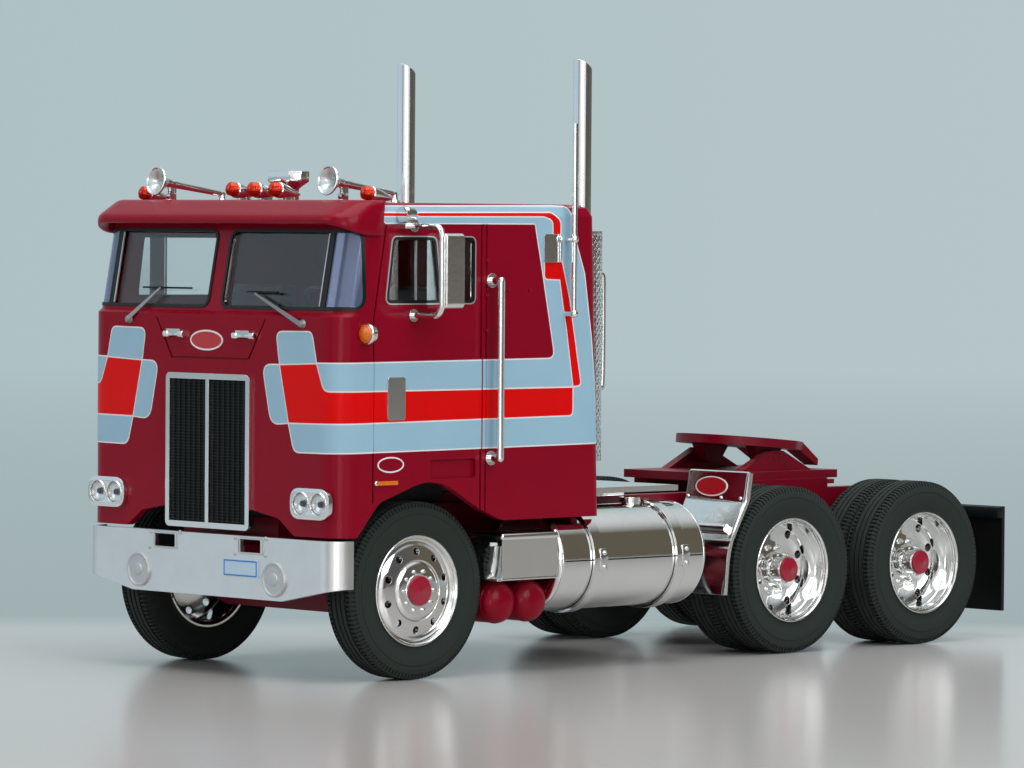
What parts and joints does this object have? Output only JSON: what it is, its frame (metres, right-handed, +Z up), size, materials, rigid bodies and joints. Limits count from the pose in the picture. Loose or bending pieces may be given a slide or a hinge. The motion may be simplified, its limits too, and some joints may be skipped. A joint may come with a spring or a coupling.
{
  "type": "scale model of a semi truck tractor unit",
  "caption": "Cab-over tractor unit with sleeper cab, tandem rear axles, twin stacks, plated tanks and a tilting fifth wheel, as a die-cast scale model.",
  "frame": {"origin": "on the ground, in the middle of the length and width", "axes": "-Y forward, +X to the left side of the truck, +Z up"},
  "size_m": [0.0664, 0.1378, 0.0854],
  "materials": {
    "crimson_paint": "gloss enamel",
    "grey_paint": "satin enamel",
    "chrome_plate": "vacuum plated",
    "clear_glass": "clear moulded",
    "lamp_glass": "clear moulded",
    "amber_plastic": "translucent moulded",
    "dark_plastic": "moulded",
    "black_plastic": "moulded",
    "plate_blue": "printed plate",
    "tyre_rubber": "satin rubber"
  },
  "bodies": {
    "chassis": {"air_tanks": "crimson_paint", "amber_lenses": "amber_plastic", "antenna": "chrome_plate", "bumper": "chrome_plate", "cab_interior": "dark_plastic", "cab_shell": "crimson_paint", "cab_trim": "chrome_plate", "catwalk": "chrome_plate", "chassis_frame": "crimson_paint", "door_glass": "clear_glass", "drive_line": "grey_paint", "engine_block": "grey_paint", "exhaust_stacks": "chrome_plate", "fifth_wheel_base": "crimson_paint", "fog_lamps": "chrome_plate", "front_axle": "crimson_paint", "fuel_tank_left": "chrome_plate", "fuel_tank_right": "chrome_plate", "grab_handles": "chrome_plate", "grille_frame": "chrome_plate", "grille_mesh": "black_plastic", "headlamp_lenses": "lamp_glass", "headlamp_pods": "chrome_plate", "horns": "chrome_plate", "lamp_bezels": "chrome_plate", "leaf_springs": "crimson_paint", "licence_plate": "plate_blue", "mirror_left": "chrome_plate", "mirror_right": "chrome_plate", "mud_flaps": "black_plastic", "muffler_guards": "chrome_plate", "quarter_fenders": "chrome_plate", "rear_axles": "crimson_paint", "roof_vent": "chrome_plate", "seats": "dark_plastic", "steering_wheel": "dark_plastic", "step_boxes": "chrome_plate", "sun_visor": "crimson_paint", "tank_straps": "chrome_plate", "windscreen": "clear_glass", "wipers": "chrome_plate"},
    "front_left_wheel_set": {"front_left_hub_cap": "crimson_paint", "front_left_tyre": "tyre_rubber", "front_left_wheel": "chrome_plate"},
    "front_right_wheel_set": {"front_right_hub_cap": "crimson_paint", "front_right_tyre": "tyre_rubber", "front_right_wheel": "chrome_plate"},
    "rear1_left_wheel_set": {"rear1_left_hub_cap": "crimson_paint", "rear1_left_tyres": "tyre_rubber", "rear1_left_wheel": "chrome_plate"},
    "rear1_right_wheel_set": {"rear1_right_hub_cap": "crimson_paint", "rear1_right_tyres": "tyre_rubber", "rear1_right_wheel": "chrome_plate"},
    "rear2_left_wheel_set": {"rear2_left_hub_cap": "crimson_paint", "rear2_left_tyres": "tyre_rubber", "rear2_left_wheel": "chrome_plate"},
    "rear2_right_wheel_set": {"rear2_right_hub_cap": "crimson_paint", "rear2_right_tyres": "tyre_rubber", "rear2_right_wheel": "chrome_plate"},
    "fifth_wheel": {"fifth_wheel_plate": "crimson_paint"}
  },
  "joints": [
    {"name": "front_left_spin", "type": "hinge", "parent": "chassis", "child": "front_left_wheel_set", "pos_m": [0.0218, -0.05162, 0.01214], "axis": [1, 0, 0], "continuous": true},
    {"name": "front_right_spin", "type": "hinge", "parent": "chassis", "child": "front_right_wheel_set", "pos_m": [-0.0218, -0.05162, 0.01214], "axis": [1, 0, 0], "continuous": true},
    {"name": "rear1_left_spin", "type": "hinge", "parent": "chassis", "child": "rear1_left_wheel_set", "pos_m": [0.0218, 0.02247, 0.01214], "axis": [1, 0, 0], "continuous": true},
    {"name": "rear1_right_spin", "type": "hinge", "parent": "chassis", "child": "rear1_right_wheel_set", "pos_m": [-0.0218, 0.02247, 0.01214], "axis": [1, 0, 0], "continuous": true},
    {"name": "rear2_left_spin", "type": "hinge", "parent": "chassis", "child": "rear2_left_wheel_set", "pos_m": [0.0218, 0.05097, 0.01214], "axis": [1, 0, 0], "continuous": true},
    {"name": "rear2_right_spin", "type": "hinge", "parent": "chassis", "child": "rear2_right_wheel_set", "pos_m": [-0.0218, 0.05097, 0.01214], "axis": [1, 0, 0], "continuous": true},
    {"name": "fifth_wheel_tilt", "type": "hinge", "parent": "chassis", "child": "fifth_wheel", "pos_m": [0, 0.03572, 0.0276], "axis": [1, 0, 0], "range_deg": [-1, 17]}
  ]
}
